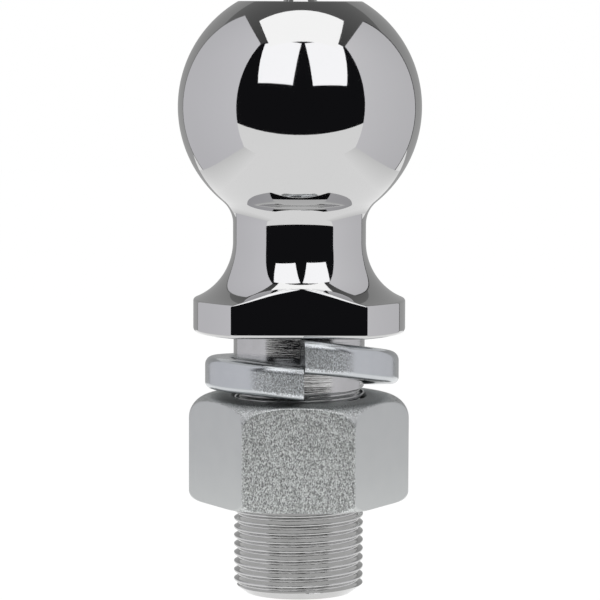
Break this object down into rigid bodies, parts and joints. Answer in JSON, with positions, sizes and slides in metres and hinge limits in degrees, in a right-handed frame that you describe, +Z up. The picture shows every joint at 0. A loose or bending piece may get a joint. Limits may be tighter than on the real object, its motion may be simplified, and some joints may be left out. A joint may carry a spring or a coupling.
{
  "type": "trailer hitch ball",
  "caption": "Chromed ball stud with flat-topped ball, waisted neck, collar with wrench flats and threaded shank, carrying a split spring washer and a hexagon nut.",
  "frame": {"origin": "centre of the collar's underside, on the shank's axis", "axes": "+Z up the shank's axis towards the ball, -Y towards the front wrench flat and the washer's split, +X to the right of that"},
  "size_m": [0.0588, 0.0588, 0.1434],
  "materials": {
    "chrome": "bright chrome plate on polished forged steel",
    "zinc_washer": "clear zinc plate on coiled spring steel, satin",
    "zinc_nut": "clear zinc plate on cold-formed steel, fine grained"
  },
  "bodies": {
    "ball_stud": {"ball_stud": "chrome"},
    "washer": {"lock_washer": "zinc_washer"},
    "nut": {"hex_nut": "zinc_nut"}
  },
  "joints": [
    {"name": "washer_drop", "type": "slide", "parent": "ball_stud", "child": "washer", "axis": [0, 0, -1], "range_m": [0, 0.02223]},
    {"name": "nut_spin", "type": "hinge", "parent": "washer", "child": "nut", "pos_m": [0, 0, -0.0284], "axis": [0, 0, -1], "range_deg": [0, 3780]}
  ],
  "couplings": [
    {"joint": "washer_drop", "follows": "nut_spin", "m_per_rad": 0.00033688}
  ]
}
